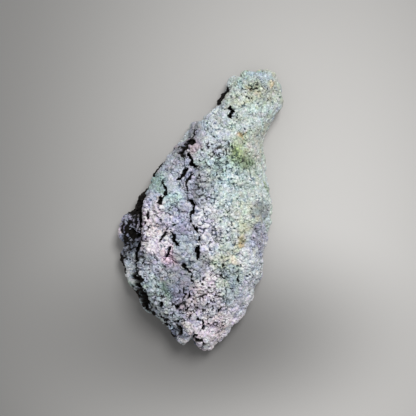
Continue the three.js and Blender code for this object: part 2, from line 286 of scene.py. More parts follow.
CRACKS = tuple(Crack(*row) for row in (
    ("cleft beside the ledge", 2, 1.25, (
        (-30.6, 6.4), (-30.3, -2.1), (-30.6, -9.1), (-30.6, -17.2), (-32.2, -22.5), (-33.2, -28.9))),
    ("lower cleft", 3, 1.2, ((-34.3, -28.9), (-33.2, -34.3), (-31.6, -38.6))),
    ("recess at the foot of the cleft", 4, 3.5, (
        (-32.2, -36.6), (-31.4, -40.2), (-30.7, -43.6), (-29.4, -46.4))),
    ("tail of the recess", 2, 0.8, ((-29.3, -46.4), (-28.8, -48.2))),
    # painted shade, partly: rims of little or no depth draw bare black rock where the edge lies in shade
    ("black rim of the ledge", 0, 0.8, ((-40, -3.2), (-40.6, -9.1), (-40.6, -14.5), (-40.8, -20.4))),
    ("lower rim of the ledge", 0, 0.9, ((-42.4, -23.6), (-42.2, -28.9), (-41.2, -33.2), (-39.4, -37.6))),
    ("rim under the recess", 0, 0.9, ((-39, -38.2), (-36, -43), (-33.2, -48))),
    ("black wedge of the upper edge", 3.5, 2.2, ((-4.3, 34.8), (-6.4, 32.7), (-8, 30.6), (-9.6, 27.9))),
    ("tail of the wedge", 3, 0.9, ((-4.3, 34.8), (-3.6, 37.5), (-2.4, 40.5))),
    ("hole at the head of the central crack", 5, 1.35, (
        (-5.4, 27.3), (-4.8, 25.2), (-3.8, 23), (-2.7, 20.9))),
    ("slanting crack", 3.5, 0.8, ((-6.4, 19.3), (-8.6, 16.6), (-10.7, 13.9))),
    ("arc round the centre lilac", 2.5, 0.62, (
        (-0.5, 20.9), (-2.7, 18.2), (-4.8, 16.1), (-6.7, 11.8), (-6.7, 7), (-5.4, 3.8))),
    ("foot of the arc", 4, 0.75, ((-4.8, 3.2), (-2.7, 1.1), (-3.2, -1.6))),
    ("winding crack", 3, 0.62, ((-3.2, -1.6), (-5.1, -4.3), (-4.3, -7), (-2.1, -9.1), (-0.5, -11.8))),
    ("central crack", 5, 0.75, ((-0.5, -11.8), (0, -16.1), (-1.1, -18.8))),
    ("foot of the central crack", 5, 0.85, ((-0.8, -19.3), (-0.5, -22.5), (-1.6, -26))),
    ("crack above the pink patch", 4, 0.95, (
        (-19.3, 12.9), (-17.2, 9.6), (-16.9, 6.4), (-18.8, 4.3), (-19.8, 2.6))),
    ("seam in the pink patch", 2.5, 0.55, ((-26, -2.1), (-26.3, -6.4), (-26, -9.6), (-24.4, -10.7))),
    ("rusty seam of the pink patch", 2, 0.5, (
        (-17.7, -7.5), (-16.3, -10.7), (-18.2, -13.9), (-19.8, -16.1))),
    ("crack right of the pink patch", 4, 0.65, (
        (-12.9, -9.1), (-13.4, -13.9), (-12.9, -17.2), (-10.2, -18.8))),
    ("crack below the pink patch", 4, 0.75, ((-15, -20.9), (-16.6, -24.7), (-18.2, -28.9))),
    ("top edge of the grey plate", 3, 0.6, ((-8.6, -28.9), (-6.4, -31.1), (-4.8, -32.7))),
    ("side edge of the grey plate", 2, 0.35, ((-4.8, -32.7), (-3.8, -35.4), (-3.2, -39.1))),
    ("slot under the grey plate", 3, 0.6, ((-5.4, -40.7), (-4.8, -43.4), (-5.9, -46.1))),
    ("fork under the grey plate", 3, 0.45, ((-8.6, -41.3), (-7.5, -45), (-9.1, -49.3))),
    ("hole in the neck", 4, 1.3, ((15.6, 51.6), (17.1, 49.3), (16.1, 46.8))),
    ("upright pit of the lower face", 3, 0.6, ((10.7, -50.9), (10.2, -54.1))),
    ("curved hole of the foot", 4, 0.5, ((-1.1, -57.4), (1.1, -58.4), (2.1, -60.6), (1.1, -63.2))),
    ("crack between the two tips", 5, 1.1, ((-3.1, -66.4), (-0.4, -68.4), (1.6, -70.8), (2.1, -73))),
    ("hole in the left tip", 4.5, 0.9, ((-10.9, -62.4), (-9.9, -65.2))),
    ("side of the hole", 4.5, 0.4, ((-10.7, -61.6), (-10.2, -64.9))),
    ("pit over the left tip", 4, 0.9, ((-13.7, -59), (-12.3, -61.6))),
    # painted shade, partly: edges of little depth draw bare black rock where the edge lies in shade
    ("black edge of the left tip", 0.5, 1.5, ((-18.2, -61.1), (-16.2, -65.2), (-14, -68.6))),
    ("black edge over the left tip", 0.5, 1.6, ((-22.4, -55.5), (-19.8, -57.6), (-18.2, -58.4))),
    ("black edge of the lower left", 0.5, 1.1, ((-29.6, -51.2), (-27.4, -54.1), (-25.2, -56.3))),
    ("slanting pit of the lower left", 3, 0.9, ((-24.1, -49.3), (-22.5, -53.6))),
    # painted shade, partly: edges without depth draw bare black rock where the side lies in shade
    ("black edge of the shoulder", 0, 1.9, (
        (-28.6, 10.6), (-29.6, 6.4), (-32.6, 2.4), (-35.2, -0.2), (-38.6, -2))),
    ("black edge of the sea lobe", 0, 1.5, ((-25.2, 19.8), (-27, 15.8), (-29.2, 10.6))),
    ("black corner over the sea lobe", 0, 1.2, ((-21.8, 20.9), (-20.2, 22.2), (-18.6, 24))),
)) + tuple(Crack("round pit", 3, half_width, line) for half_width, *line in (
    (0.75, (-19.3, -48.8), (-19.8, -49.8)), (0.8, (-11.8, -50.9), (-11.7, -51)),
    (0.7, (-17.7, -54.6), (-17.6, -54.7)), (0.8, (-7, -52), (-6.7, -52.8)),
    (0.75, (8.6, -44.5), (9.2, -44.5)), (0.7, (10.7, -34.3), (11.8, -35.4)),
    (0.4, (11.8, -28.9), (12.3, -29.5)), (0.6, (19.3, -36.4), (19.3, -37.5)),
))

# The widest line, from the knob round by the right, the foot and the ledge.
OUTLINE = (
    (14.6, 68.4), (17.4, 71.4), (20.6, 70.6), (23, 73.2), (31.6, 74.8), (38.4, 74), (42.6, 69.6),
    (44.2, 62.5), (44.3, 56), (42.3, 51.1), (38.4, 45.2), (35, 39), (34.2, 34.6), (35.3, 27), (36.1, 15.5),
    (37.7, 4), (38.3, -4), (36.6, -14.5), (34.8, -23), (34.2, -33.6), (29.8, -41), (27.4, -47.5),
    (25, -54), (20.2, -61), (12.4, -69), (8.2, -72.2), (4.6, -75.4), (1.1, -76.4), (-1.8, -73.4),
    (-4.2, -69.2), (-6.8, -71), (-9.6, -73.4), (-13, -71.2), (-16.2, -66.2), (-21.6, -59.2),
    (-30.2, -53.4), (-35.6, -43.6), (-40.8, -33.4), (-42.5, -27.5), (-42.1, -19.4), (-43.9, -14.8),
    (-42.6, -9.6), (-39.4, -2.5), (-32.2, 5.8), (-28.4, 12.6), (-25.2, 20), (-19.8, 24.6), (-10.2, 35.4),
    (-7.6, 40.6), (-6.4, 44.4), (-2.4, 45.4), (0.4, 47.4), (6.4, 53.8), (10.8, 59.4), (13.4, 64),
)

# Line between the low ledge and the crust.
CLEFT = (
    (-20, 24.4), (-27, 13.6), (-30.8, 2.8), (-30.5, -9), (-31.6, -18.8), (-34, -27), (-32.5, -38),
    (-28.9, -46.6), (-24, -52), (-18.2, -58),
)

# Lines along which the side is bare black rock, partly painted shade of the shaded side: left of the neck and
# above the ledge.
BARE_EDGES = (
    ((3.6, 52.1), (8.6, 56.8), (13.7, 61.5)),
    ((-20.2, 25.0), (-25.6, 19.0), (-28.6, 12.0), (-31.0, 8.0)),
)

# Crest of the crust: x, y and height of the line that the nodules rise towards.
CREST = (
    (-2, -59, 24), (-4, -41, 34), (-3, -20, 39), (4, 2, 40), (14, 23, 36), (22, 41, 30), (29.5, 59, 27),
)


# ---- Small mathematics ----

LOBE_RADIUS = 0.6  # the smallest lobe's radius, in pitches
LOBE_SPREAD = 0.35  # how much larger the largest one's is
LOBE_NUMBERS = 7.31  # spreads a lobe's radius number into its own number
CURVE_STEPS = 32  # points on each leg of a curve before they are evened out


def blend(start: Array, end: Array, share: Array) -> Array:
    """Straight blend: start + (end - start) × share."""
    return start + (end - start) * share


def fraction(cells: Array, seed: int) -> Array:
    """Scrambles whole-number cells to repeatable numbers from 0 to 1.

    Args:
        cells: integers, three for each cell on the last axis.
        seed: which set of numbers.

    Returns:
        One number for each cell: its three integers times large primes, mixed by shifts and products.
    """
    key = (cells[..., 0] * 73856093) ^ (cells[..., 1] * 19349663) ^ (cells[..., 2] * 83492791)
    key = (key + seed * 2654435761) & 0xFFFFFFFF
    for _ in range(2):
        key = ((key ^ (key >> 16)) * 0x45D9F3B) & 0xFFFFFFFF
    return (key ^ (key >> 16)) / 0xFFFFFFFF


@dataclass(frozen=True)
class Ramp:
    """A soft step, level beyond its ends; it falls where `zero` is the larger of them."""

    zero: float
    one: float

    def of(self, value: Array) -> Array:
        """The step at a value: 0 at `zero`, 1 at `one` and 3t² - 2t³ between them."""
        t = np.clip((value - self.zero) / (self.one - self.zero), 0.0, 1.0)
        return t * t * (3.0 - 2.0 * t)


@dataclass(frozen=True)
class Grain:
    """Smooth noise of one size.

    Attributes:
        pitch: width of its cubes.
        seed: which set of numbers; the next ones are for a vector's other axes.
        amount: its height, or how far it moves things.
    """

    pitch: float
    seed: int
    amount: float = 1.0

    def at(self, places: Array, axis: int = 0) -> Array:
        """The noise at some places.

        Args:
            places: points, three numbers each.
            axis: which of a vector's axes it is for.

        Returns:
            Its cube's eight random corner numbers, blended by 3t² - 2t³, from -amount to amount.
        """
        scaled = places / self.pitch
        cell = np.floor(scaled).astype(np.int64)
        share = scaled - cell
        share = share * share * (3.0 - 2.0 * share)
        total = np.zeros(places.shape[:-1])
        for corner in itertools.product((0, 1), repeat=3):
            step = np.array(corner)
            weight = np.prod(np.where(step, share, 1.0 - share), axis=-1)
            total += weight * fraction(cell + step, self.seed + axis)
        return self.amount * (2.0 * total - 1.0)

    def push(self, places: Array, axes: int = 3) -> Array:
        """A vector of independent noises at each of some places."""
        return np.stack([self.at(places, axis) for axis in range(axes)], axis=-1)


@dataclass(frozen=True)
class Lobes:
    """Round lobes of mixed sizes grown into each other, as botryoidal growth leaves them.

    Attributes:
        pitch: width of the cubes that hold one lobe's middle each.
        seed: which set of numbers.
        height: how much of their height shows.
        mean: their mean height over their middles, in pitches.
    """

    pitch: float
    seed: int
    height: float = 1.0
    mean: float = 0.0

    def read(self, places: Array) -> tuple[Array, Array]:
        """Height of the lobes, and the number of the highest one, at some places.

        Args:
            places: points, three numbers each.

        Returns:
            The largest of sqrt(r² - d²), in pitches, with d the distance to a lobe's middle and r its radius;
            and the highest lobe's own number from 0 to 1.
        """
        cell = np.floor(places / self.pitch).astype(np.int64)
        height = np.zeros(places.shape[:-1])
        number = np.full(places.shape[:-1], 0.5)
        for step in itertools.product((-1, 0, 1), repeat=3):
            near = cell + np.array(step)
            middle = near + np.stack([fraction(near, self.seed + 100 * k) for k in range(3)], axis=-1)
            own = fraction(near, self.seed + 300)
            radius = LOBE_RADIUS + LOBE_SPREAD * own
            rise = radius ** 2 - ((places / self.pitch - middle) ** 2).sum(-1)
            higher = rise > height ** 2
            height = np.where(higher, np.sqrt(np.maximum(rise, 0.0)), height)
            number = np.where(higher, (own * LOBE_NUMBERS) % 1.0, number)
        return height, number

    def lift(self, places: Array) -> Array:
        """Height of the lobes about their mean."""
        return self.height * self.pitch * (self.read(places)[0] - self.mean)

    def steps(self, places: Array) -> Array:
        """The lobes' numbers as steps about zero, which leave blocks with sharp edges."""
        return self.height * (self.read(places)[1] - 0.5)


ROCK_BEND = Grain(1.7, 56, 0.6)
ROCK_BLOCKS = (Lobes(4.6, 60, 1.9), Lobes(1.9, 63, 0.9))
ROCK_CRUMBS = (Grain(1.1, 65, 0.45), Grain(0.5, 66, 0.25))


def broken_rock(places: Array) -> Array:
    """Height of broken rock about its mean: blocks of two sizes with bent edges, and crumbs on them."""
    bent = places + ROCK_BEND.push(places)
    return sum(block.steps(bent) for block in ROCK_BLOCKS) + sum(crumb.at(places) for crumb in ROCK_CRUMBS)


def beside(places: Array, line: Sequence[Sequence[float]]) -> Array:
    """Distance in plan to a line of corners, below zero on its right-hand side.

    Args:
        places: points with x and y first on the last axis.
        line: the corners.

    Returns:
        The distance to the nearest leg: |p - a - t(b - a)| with t = (p - a)·(b - a) / |b - a|² held in 0..1.
    """
    corners = np.asarray(line, dtype=float)
    leg = corners[1:] - corners[:-1]
    start = places[..., None, :2] - corners[:-1]
    along = np.clip((start * leg).sum(-1) / (leg ** 2).sum(-1), 0.0, 1.0)
    away = np.linalg.norm(start - along[..., None] * leg, axis=-1)
    side = np.where(leg[:, 0] * start[..., 1] - leg[:, 1] * start[..., 0] < 0.0, -1.0, 1.0)
    nearest = away.argmin(-1)[..., None]
    return (np.take_along_axis(side, nearest, -1) * np.take_along_axis(away, nearest, -1))[..., 0]


def closed_curve(corners: Sequence[Sequence[float]], count: int) -> Array:
    """Evenly spaced points on a smooth closed curve through the corners.

    Args:
        corners: points [x, y] in order.
        count: how many points to return.

    Returns:
        Points of a centripetal cubic curve: each leg is a Hermite cubic in t, whose slope at a corner is its
        neighbours' chord over their knot distance, and a knot step is the root of a leg's length.
    """
    p = np.asarray(corners, dtype=float)
    step = np.sqrt(np.linalg.norm(np.roll(p, -1, axis=0) - p, axis=1))[:, None]
    slope = (np.roll(p, -1, axis=0) - np.roll(p, 1, axis=0)) / (step + np.roll(step, 1, axis=0))
    t = np.linspace(0.0, 1.0, CURVE_STEPS, endpoint=False)[None, :, None]
    here, there = p[:, None], np.roll(p, -1, axis=0)[:, None]
    leave, arrive = (slope * step)[:, None], (np.roll(slope, -1, axis=0) * step)[:, None]
    curve = ((2 * t ** 3 - 3 * t ** 2 + 1) * here + (t ** 3 - 2 * t ** 2 + t) * leave
             + (3 * t ** 2 - 2 * t ** 3) * there + (t ** 3 - t ** 2) * arrive).reshape(-1, 2)
    ring = np.vstack([curve, curve[:1]])
    run = np.concatenate([[0.0], np.cumsum(np.linalg.norm(np.diff(ring, axis=0), axis=1))])
    at = np.linspace(0.0, run[-1], count, endpoint=False)
    return np.stack([np.interp(at, run, ring[:, axis]) for axis in (0, 1)], axis=1)


def grid_normals(places: Array) -> Array:
    """Unit normals of a grid of closed rings, from the steps along a ring and up the rings."""
    along = np.roll(places, -1, axis=1) - np.roll(places, 1, axis=1)
    normal = np.cross(along, np.gradient(places, axis=0))
    return normal / np.maximum(np.linalg.norm(normal, axis=-1, keepdims=True), 1e-9)


def to_frame(places: Array) -> Array:
    """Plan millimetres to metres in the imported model's frame."""
    return (places - np.array([*PLAN_MIDDLE, 0.0])) * MM


# ---- Form of the specimen ----

@dataclass(frozen=True)
class Ground:
    """What the map says at some places: colour, bead size, pits, rise and cover."""

    tint: Array
    bead: Array
    pits: Array
    rise: Array
    cover: Array


@dataclass(frozen=True)
class CrustMap:
    """What grows where: a blend of the patches, which fade into each other over wavy borders."""

    warp: Grain = Grain(5.0, 31, 2.4)  # waves of the borders
    fray: Grain = Grain(1.6, 33, 1.1)  # fine fraying on them
    stray: Grain = Grain(9.0, 35, 24.0)  # waves that break up the colours down the sides
    softness: float = 0.85  # above 1, patches fade sooner past their reach
    at_once: int = 40000  # places looked up in one go

    def read(self, places: Array, loose: Array) -> Ground:
        """Reads the map.

        Args:
            places: points, three numbers each on the last axis.
            loose: how much the colours wander there, from 0 on the face to 1 low on the flanks.

        Returns:
            The patches' numbers, weighted by exp(-softness × (d / reach)²) over the weights' sum; d is the
            distance in plan after the place is moved by noise.
        """
        table = np.array([(*rgb(p.tint), p.bead, p.pits, p.rise, p.cover) for p in PATCHES])
        middles = np.array([(p.x, p.y) for p in PATCHES])
        reach = np.array([p.reach for p in PATCHES])
        flat = places.reshape(-1, 3)
        plan = flat[:, :2] + self.warp.push(flat, 2) + self.fray.push(flat, 2)
        plan = plan + loose.reshape(-1, 1) * self.stray.push(flat, 2)
        blocks = []
        for part in np.array_split(plan, max(len(plan) // self.at_once, 1)):
            far = ((part[:, None] - middles) ** 2).sum(-1) / reach ** 2
            share = np.exp(-self.softness * (far - far.min(-1, keepdims=True)))
            blocks.append(share @ table / share.sum(-1, keepdims=True))
        read = np.concatenate(blocks).reshape(*places.shape[:-1], table.shape[1])
        return Ground(read[..., :3], *np.moveaxis(read[..., 3:], -1, 0))


@dataclass(frozen=True)
class CrackWalls:
    """Walls of the named cracks, ragged and here and there bridged."""

    bend: Grain = Grain(2.4, 41, 0.75)  # slow and fine waves of the walls
    fray: Grain = Grain(0.9, 43, 0.58)
    width: float = 0.95  # the mean width, as a share of the named one
    swell: Grain = Grain(2.8, 45, 0.55)  # how much it varies
    bridging: Grain = Grain(2.6, 46)
    bridged: Ramp = Ramp(0.10, 0.45)  # where that noise bridges a crack
    bridge: float = 0.7  # how much narrower a bridge makes it
    slope: Ramp = Ramp(-0.14, 0.5)  # how a crack deepens inside its wall

    def read(self, places: Array) -> tuple[Array, Array]:
        """Reads the walls.

        Args:
            places: points, three numbers each.

        Returns:
            How far each place lies inside the nearest wall, below zero outside it, and the depth there.
        """
        wander = places[..., :2] + self.bend.push(places, 2) + self.fray.push(places, 2)
        share = self.width + self.swell.at(places)
        bridge = self.bridge * self.bridged.of(self.bridging.at(places))
        inside = np.full(places.shape[:-1], -np.inf)
        depth = np.zeros(places.shape[:-1])
        for crack in CRACKS:
            margin = crack.half_width * share - bridge - np.abs(beside(wander, crack.line))
            depth = np.where(margin > inside, crack.depth, depth)
            inside = np.maximum(inside, margin)
        return inside, depth * self.slope.of(inside)


@dataclass(frozen=True)
class BareRock:
    """Where the rock lies bare away from the cracks; the near-black wall above the ledge and the bare edges
    are partly painted shade.
    """

    bend: Grain = Grain(1.9, 47, 0.9)  # slow and fine waves of all its borders
    fray: Grain = Grain(0.8, 50, 0.5)
    wall_head: Ramp = Ramp(0.12, 0.22)  # shares of the ledge at the head and the foot of the wall above it
    wall_foot: Ramp = Ramp(0.96, 0.90)
    wall_ends: tuple[Ramp, Ramp] = (Ramp(8.0, 5.0), Ramp(-49.0, -46.0))
    band_side: Ramp = Ramp(0.35, 0.5)  # share of the ledge at the side of the band at its upper end
    band_end: Ramp = Ramp(-5.0, -3.0)
    ragged: Grain = Grain(4.5, 59)
    edge_wander: float = 3.2  # how far that noise moves a bare edge's sides, low down
    edge_low: Ramp = Ramp(15.0, 10.0)
    edge_side: Ramp = Ramp(2.2, 1.6)
    edge_top: Ramp = Ramp(18.0, 16.0)
    top_wander: float = 2.0
    hem: Ramp = Ramp(2.8, 1.8)  # height of the crust's lower edge
    hem_wander: Grain = Grain(4.0, 53, 1.2)
    streak: Grain = Grain(1.3, 54)
    streak_fray: Grain = Grain(0.8, 55, 0.5)
    streak_length: float = 0.35  # places are squeezed this much along the specimen
    streak_side: Ramp = Ramp(-0.08, 0.08)
    cover_weight: float = 1.1
    full_cover: float = 0.97  # from this cover on there are no streaks

    def share(self, places: Array, form: SpecimenForm, ground: Ground) -> Array:
        """How bare the rock lies.

        Args:
            places: points, three numbers each.
            form: the smooth form.
            ground: the map there.

        Returns:
            From 0 on closed crust to 1 on the wall above the ledge, on the band at its upper end, on the bare
            edges, below the crust's lower edge and on the streaks that the map leaves uncovered.
        """
        wander = places + self.bend.push(places) + self.fray.push(places)
        along, height = wander[..., 1], places[..., 2]
        ledge = form.ledge_share(wander)
        # painted shade, partly: the bare black wall above the ledge
        wall = self.wall_head.of(ledge) * self.wall_foot.of(ledge)
        wall = wall * self.wall_ends[0].of(along) * self.wall_ends[1].of(along)
        band = self.band_side.of(ledge) * self.band_end.of(along)
        ragged = self.ragged.at(places)
        strip = np.min([np.abs(beside(wander, line)) for line in BARE_EDGES], axis=0)
        edge = self.edge_side.of(strip + self.edge_wander * ragged * self.edge_low.of(height))
        edge = edge * self.edge_top.of(height + self.top_wander * ragged)
        below = self.hem.of(wander[..., 2] + self.hem_wander.at(places))
        squeezed = places * np.array([1.0, self.streak_length, 1.0])
        streak = self.streak.at(squeezed) + self.streak_fray.at(places)
        streak = self.streak_side.of(streak - self.cover_weight * (2.0 * ground.cover - 1.0))
        return np.max([wall, band, edge, below, streak * (ground.cover < self.full_cover)], axis=0)


@dataclass(frozen=True)
class SpecimenForm:
    """Smooth form of the specimen, and the lobes of its crust."""

    rim_height: float = 9.0  # height of the widest line above the table
    flat_inset: float = 5.0  # how far the flat underside lies inside the widest line
    shoulder_width: float = 9.0  # plan width over which the edge rises to the crusted face
    dome_share: float = 0.22  # share of the height that belongs to the broad dome
    ledge_rise: float = 5.0  # height of the low ledge above the rim
    ledge_edge_width: float = 3.0
    wall_width: float = 3.0  # plan width of the steep wall between ledge and crust
    wall_setback: float = 0.0  # how far the wall is moved in under the crust
    ledge_fade: float = 7.0  # length over which the ledge fades out at its ends
    large: Lobes = Lobes(8.5, 11, 0.42, 0.62)
    small: Lobes = Lobes(3.4, 17, 0.50, 0.60)
    uneven: Grain = Grain(2.4, 24, 0.45)
    steep_weight: float = 0.7  # a rise counts this much in the distance between rings
    profile_steps: int = 260  # steps that a spoke's profile is measured in
    low_flank: Ramp = Ramp(24.0, 9.0)  # heights over which the colours come loose
    map: CrustMap = CrustMap()

    def crest(self, y: Array) -> Array:
        """Crest point beside each y.

        Args:
            y: places along the specimen.

        Returns:
            x, y and height on the crest line, held at its ends; between two stops the share is the mean of a
            straight one and 3t² - 2t³.
        """
        stops = np.array(CREST, dtype=float)
        held = np.clip(y, stops[0, 1], stops[-1, 1])
        after = np.clip(np.searchsorted(stops[:, 1], held), 1, len(stops) - 1)
        low, high = stops[after - 1], stops[after]
        t = (held - low[:, 1]) / (high[:, 1] - low[:, 1])
        t = 0.5 * t + 0.5 * t * t * (3.0 - 2.0 * t)
        point = blend(low, high, t[:, None])
        point[:, 1] = held
        return point

    def shoulder(self, inset: Array, width: float) -> Array:
        """Quarter of a sine wave over the width, then level: sin(min(inset / width, 1) × 90°)."""
        return np.sin(np.minimum(inset / width, 1.0) * math.pi / 2)

    def ledge_share(self, places: Array) -> Array:
        """How much of a place belongs to the low ledge outside the cleft, from 0 to 1."""
        top, foot = CLEFT[0][1], CLEFT[-1][1]
        outside = Ramp(-self.wall_width, 0.0).of(self.wall_setback - beside(places, CLEFT))
        below = Ramp(top, top - self.ledge_fade).of(places[..., 1])
        above = Ramp(foot, foot + self.ledge_fade).of(places[..., 1])
        return outside * below * above

    def ground(self, places: Array) -> Ground:
        """The map at some places; its colours wander low on the flanks, but not on the ledge."""
        loose = self.low_flank.of(places[..., 2]) * (1.0 - self.ledge_share(places))
        return self.map.read(places, loose)

    def face_height(self, inset: Array, reach: Array, top: Array, places: Array) -> Array:
        """Height of the upper face: a quarter-sine edge under a broad dome, and the ledge outside the cleft.

        Args:
            inset: how far each place lies inside the widest line.
            reach: distance from the widest line to the crest there.
            top: the crest's height there.
            places: points, x and y used.

        Returns:
            The height of each place.
        """
        share = 1.0 - inset / reach
        rise = (1.0 - self.dome_share) * self.shoulder(inset, self.shoulder_width)
        rise = rise + self.dome_share * (1.0 - share * share)
        crust = blend(self.rim_height, top, rise)
        ledge = self.rim_height + self.ledge_rise * self.shoulder(inset, self.ledge_edge_width)
        return np.maximum(blend(crust, ledge, self.ledge_share(places)), self.rim_height)

    def _face_insets(self, rim: Array, crest: Array, end: Array, count: int) -> Array:
        """How far in from the widest line each ring of the face lies.

        Args:
            rim: points of the widest line.
            crest: the crest point of each.
            end: the last ring's inset.
            count: how many rings there are.

        Returns:
            Insets that cut each spoke's profile into steps of equal length, where a rise counts at
            `steep_weight` of its height. All the spokes are looked up as one long table.
        """
        reach = np.linalg.norm(rim - crest[:, :2], axis=1)
        inset = np.linspace(0.0, 1.0, self.profile_steps)[:, None] * end
        plan = blend(rim, crest[:, :2], (inset / reach)[..., None])
        height = self.face_height(inset, reach, crest[:, 2], plan)
        step = np.hypot(np.diff(inset, axis=0), self.steep_weight * np.diff(height, axis=0))
        run = np.vstack([np.zeros_like(end), np.cumsum(step, axis=0)])
        apart = 2.0 * np.arange(len(end))
        wanted = np.linspace(0.0, 1.0, count)[:, None] + apart
        found = np.interp(wanted.T.ravel(), (run / run[-1] + apart).T.ravel(), inset.T.ravel())
        return found.reshape(len(end), count).T

    def rings(self, around: int, under: int, side: Array, face: int,
              past_crest: float) -> tuple[Array, Array]:
        """Rings round the smooth form, from the underside up to the crest.

        Args:
            around: points in a ring.
            under: rings on the flat underside.
            side: angle of each side ring below the widest line, in radians.
            face: rings on the face.
            past_crest: how far the last ring lies beyond the crest, below zero short of it.

        Returns:
            Points, and the directions that relief moves them in. The side is a quarter circle squashed to rim
            height by flat inset, and the face is `face_height` of the place.
        """
        rim = closed_curve(OUTLINE, around)[::-1]
        crest = self.crest(rim[:, 1])
        reach = np.linalg.norm(rim - crest[:, :2], axis=1)
        out = (rim - crest[:, :2]) / reach[:, None]
        flat = np.linspace(1.0, 0.0, under, endpoint=False)[:, None]
        flat_inset = blend(self.flat_inset, reach + past_crest, flat)
        side_inset = self.flat_inset * (1.0 - np.cos(side))[:, None] * np.ones_like(reach)
        face_inset = self._face_insets(rim, crest, reach + past_crest, face)
        inset = np.vstack([flat_inset, side_inset, face_inset])
        plan = blend(rim, crest[:, :2], (inset / reach)[..., None])
        first = under + len(side)
        height = np.zeros(inset.shape)
        height[under:first] = self.rim_height * (1.0 - np.sin(side))[:, None]
        height[first:] = self.face_height(face_inset, reach, crest[:, 2], plan[first:])
        tilt = np.zeros(inset.shape)
        tilt[first:] = np.minimum(face_inset / self.shoulder_width, 1.0) * math.pi / 2
        swell = np.concatenate([np.cos(tilt)[..., None] * out, np.sin(tilt)[..., None]], axis=-1)
        return np.concatenate([plan, height[..., None]], axis=-1), swell

    def lobes(self, places: Array, ground: Ground) -> Array:
        """How far the lobes stand out of the smooth form, with a slow unevenness and the map's rise."""
        return self.large.lift(places) + self.small.lift(places) + self.uneven.at(places) + ground.rise


# ---- Meshes ----

def grid_faces(rows: int, columns: int, ring: bool) -> tuple[Array, Array, Array]:
    """Faces of a grid of points.

    Args:
        rows: rows of points.
        columns: points in a row.
        ring: true where a row's last point joins its first.

    Returns:
        The four corners of each face, then each corner's row and column, which counts on past a ring's end.
    """
    row, column = np.meshgrid(np.arange(rows - 1), np.arange(columns if ring else columns - 1), indexing="ij")
    corner_row = np.stack([row, row, row + 1, row + 1], axis=-1).reshape(-1, 4)
    corner_column = np.stack([column, column + 1, column + 1, column], axis=-1).reshape(-1, 4)
    return corner_row * columns + corner_column % columns, corner_row, corner_column


def make_piece(name: str, places: Array, faces: Array, loops: Array, tints: Array, uv: Array,
               finishes: Sequence[Material], finish_of: Array | None = None) -> Piece:
    """Puts arrays into a smooth-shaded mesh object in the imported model's frame.

    Args:
        name: the piece's name.
        places: vertices in plan millimetres.
        faces: how many corners each face has.
        loops: the vertex of each corner.
        tints: linear colour of each vertex.
        uv: picture place of each corner.
        finishes: the piece's materials.
        finish_of: number of each face's material; the first if left out.

    Returns:
        The object, with a colour attribute `tint` and one UV map.
    """
    mesh = bpy.data.meshes.new(name)
    mesh.vertices.add(len(places))
    mesh.vertices.foreach_set("co", to_frame(places).astype(np.float32).ravel())
    mesh.loops.add(len(loops))
    mesh.loops.foreach_set("vertex_index", loops.astype(np.int32))
    mesh.polygons.add(len(faces))
    mesh.polygons.foreach_set("loop_start", (np.cumsum(faces) - faces).astype(np.int32))
    mesh.polygons.foreach_set("loop_total", faces.astype(np.int32))
    mesh.update(calc_edges=True)
    mesh.shade_smooth()
    for finish in finishes:
        mesh.materials.append(finish)
    if finish_of is not None:
        mesh.polygons.foreach_set("material_index", finish_of.astype(np.int32))
    tint = mesh.color_attributes.new(TINT_NAME, "FLOAT_COLOR", "POINT")
    tint.data.foreach_set("color", np.column_stack([tints, np.ones(len(tints))]).astype(np.float32).ravel())
    layer = mesh.uv_layers.new(name=UV_NAME)
    layer.uv.foreach_set("vector", uv.astype(np.float32).ravel())
    mesh.validate()
    piece = bpy.data.objects.new(name, mesh)
    bpy.context.scene.collection.objects.link(piece)
    return piece


